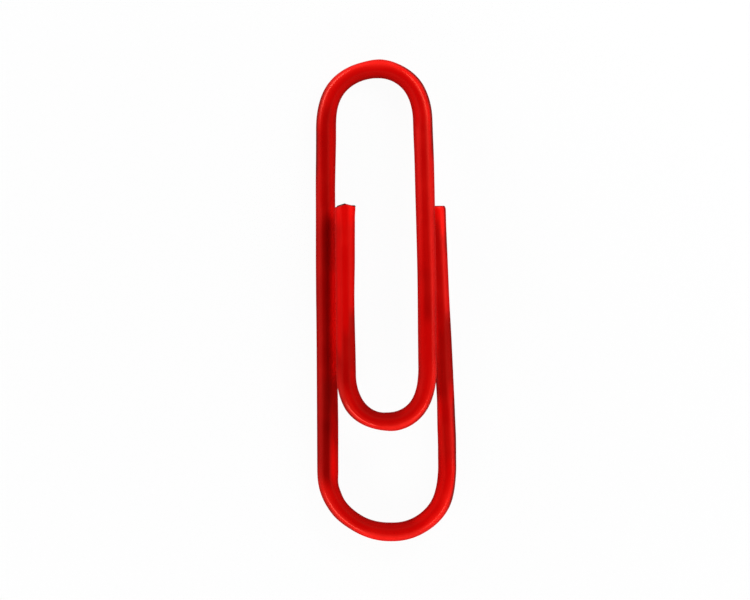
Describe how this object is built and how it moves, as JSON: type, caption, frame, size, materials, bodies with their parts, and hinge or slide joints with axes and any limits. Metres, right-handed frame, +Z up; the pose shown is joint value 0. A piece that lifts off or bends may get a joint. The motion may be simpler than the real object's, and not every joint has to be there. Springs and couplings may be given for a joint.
{
  "type": "paper clip",
  "caption": "Double-loop paper clip of coated steel wire, with a sprung tongue that lifts to grip paper.",
  "frame": {"origin": "on the desk, under the middle of the outer loop", "axes": "+Y along the clip to its single bend, +X across it, +Z up from the desk to the tongue's side"},
  "size_m": [0.0082, 0.028, 0.0026],
  "materials": {
    "steel_wire": "drawn wire, bare only at its two sheared ends",
    "red_vinyl": "glossy extruded vinyl"
  },
  "bodies": {
    "spine": {"spine_wire": "steel_wire", "spine_coat": "red_vinyl"},
    "outer_leg": {"outer_leg_wire": "steel_wire", "outer_leg_coat": "red_vinyl"},
    "tongue": {"tongue_wire": "steel_wire", "tongue_coat": "red_vinyl"},
    "inner_leg": {"inner_leg_wire": "steel_wire", "inner_leg_coat": "red_vinyl"}
  },
  "joints": [
    {"name": "tongue_lift", "type": "hinge", "parent": "spine", "child": "tongue", "pos_m": [-0.00057, 0.01344, 0.00056], "axis": [-1, 0, 0], "range_deg": [0, 10], "stiffness_Nm_per_rad": 0.44},
    {"name": "inner_leg_flex", "type": "hinge", "parent": "tongue", "child": "inner_leg", "pos_m": [0.00003, -0.00701, 0.00191], "axis": [1, 0, 0], "range_deg": [0, 8], "stiffness_Nm_per_rad": 0.58},
    {"name": "outer_leg_flex", "type": "hinge", "parent": "spine", "child": "outer_leg", "pos_m": [0.00029, -0.01344, 0.00056], "axis": [-1, 0, 0], "range_deg": [0, 8], "stiffness_Nm_per_rad": 0.38}
  ]
}
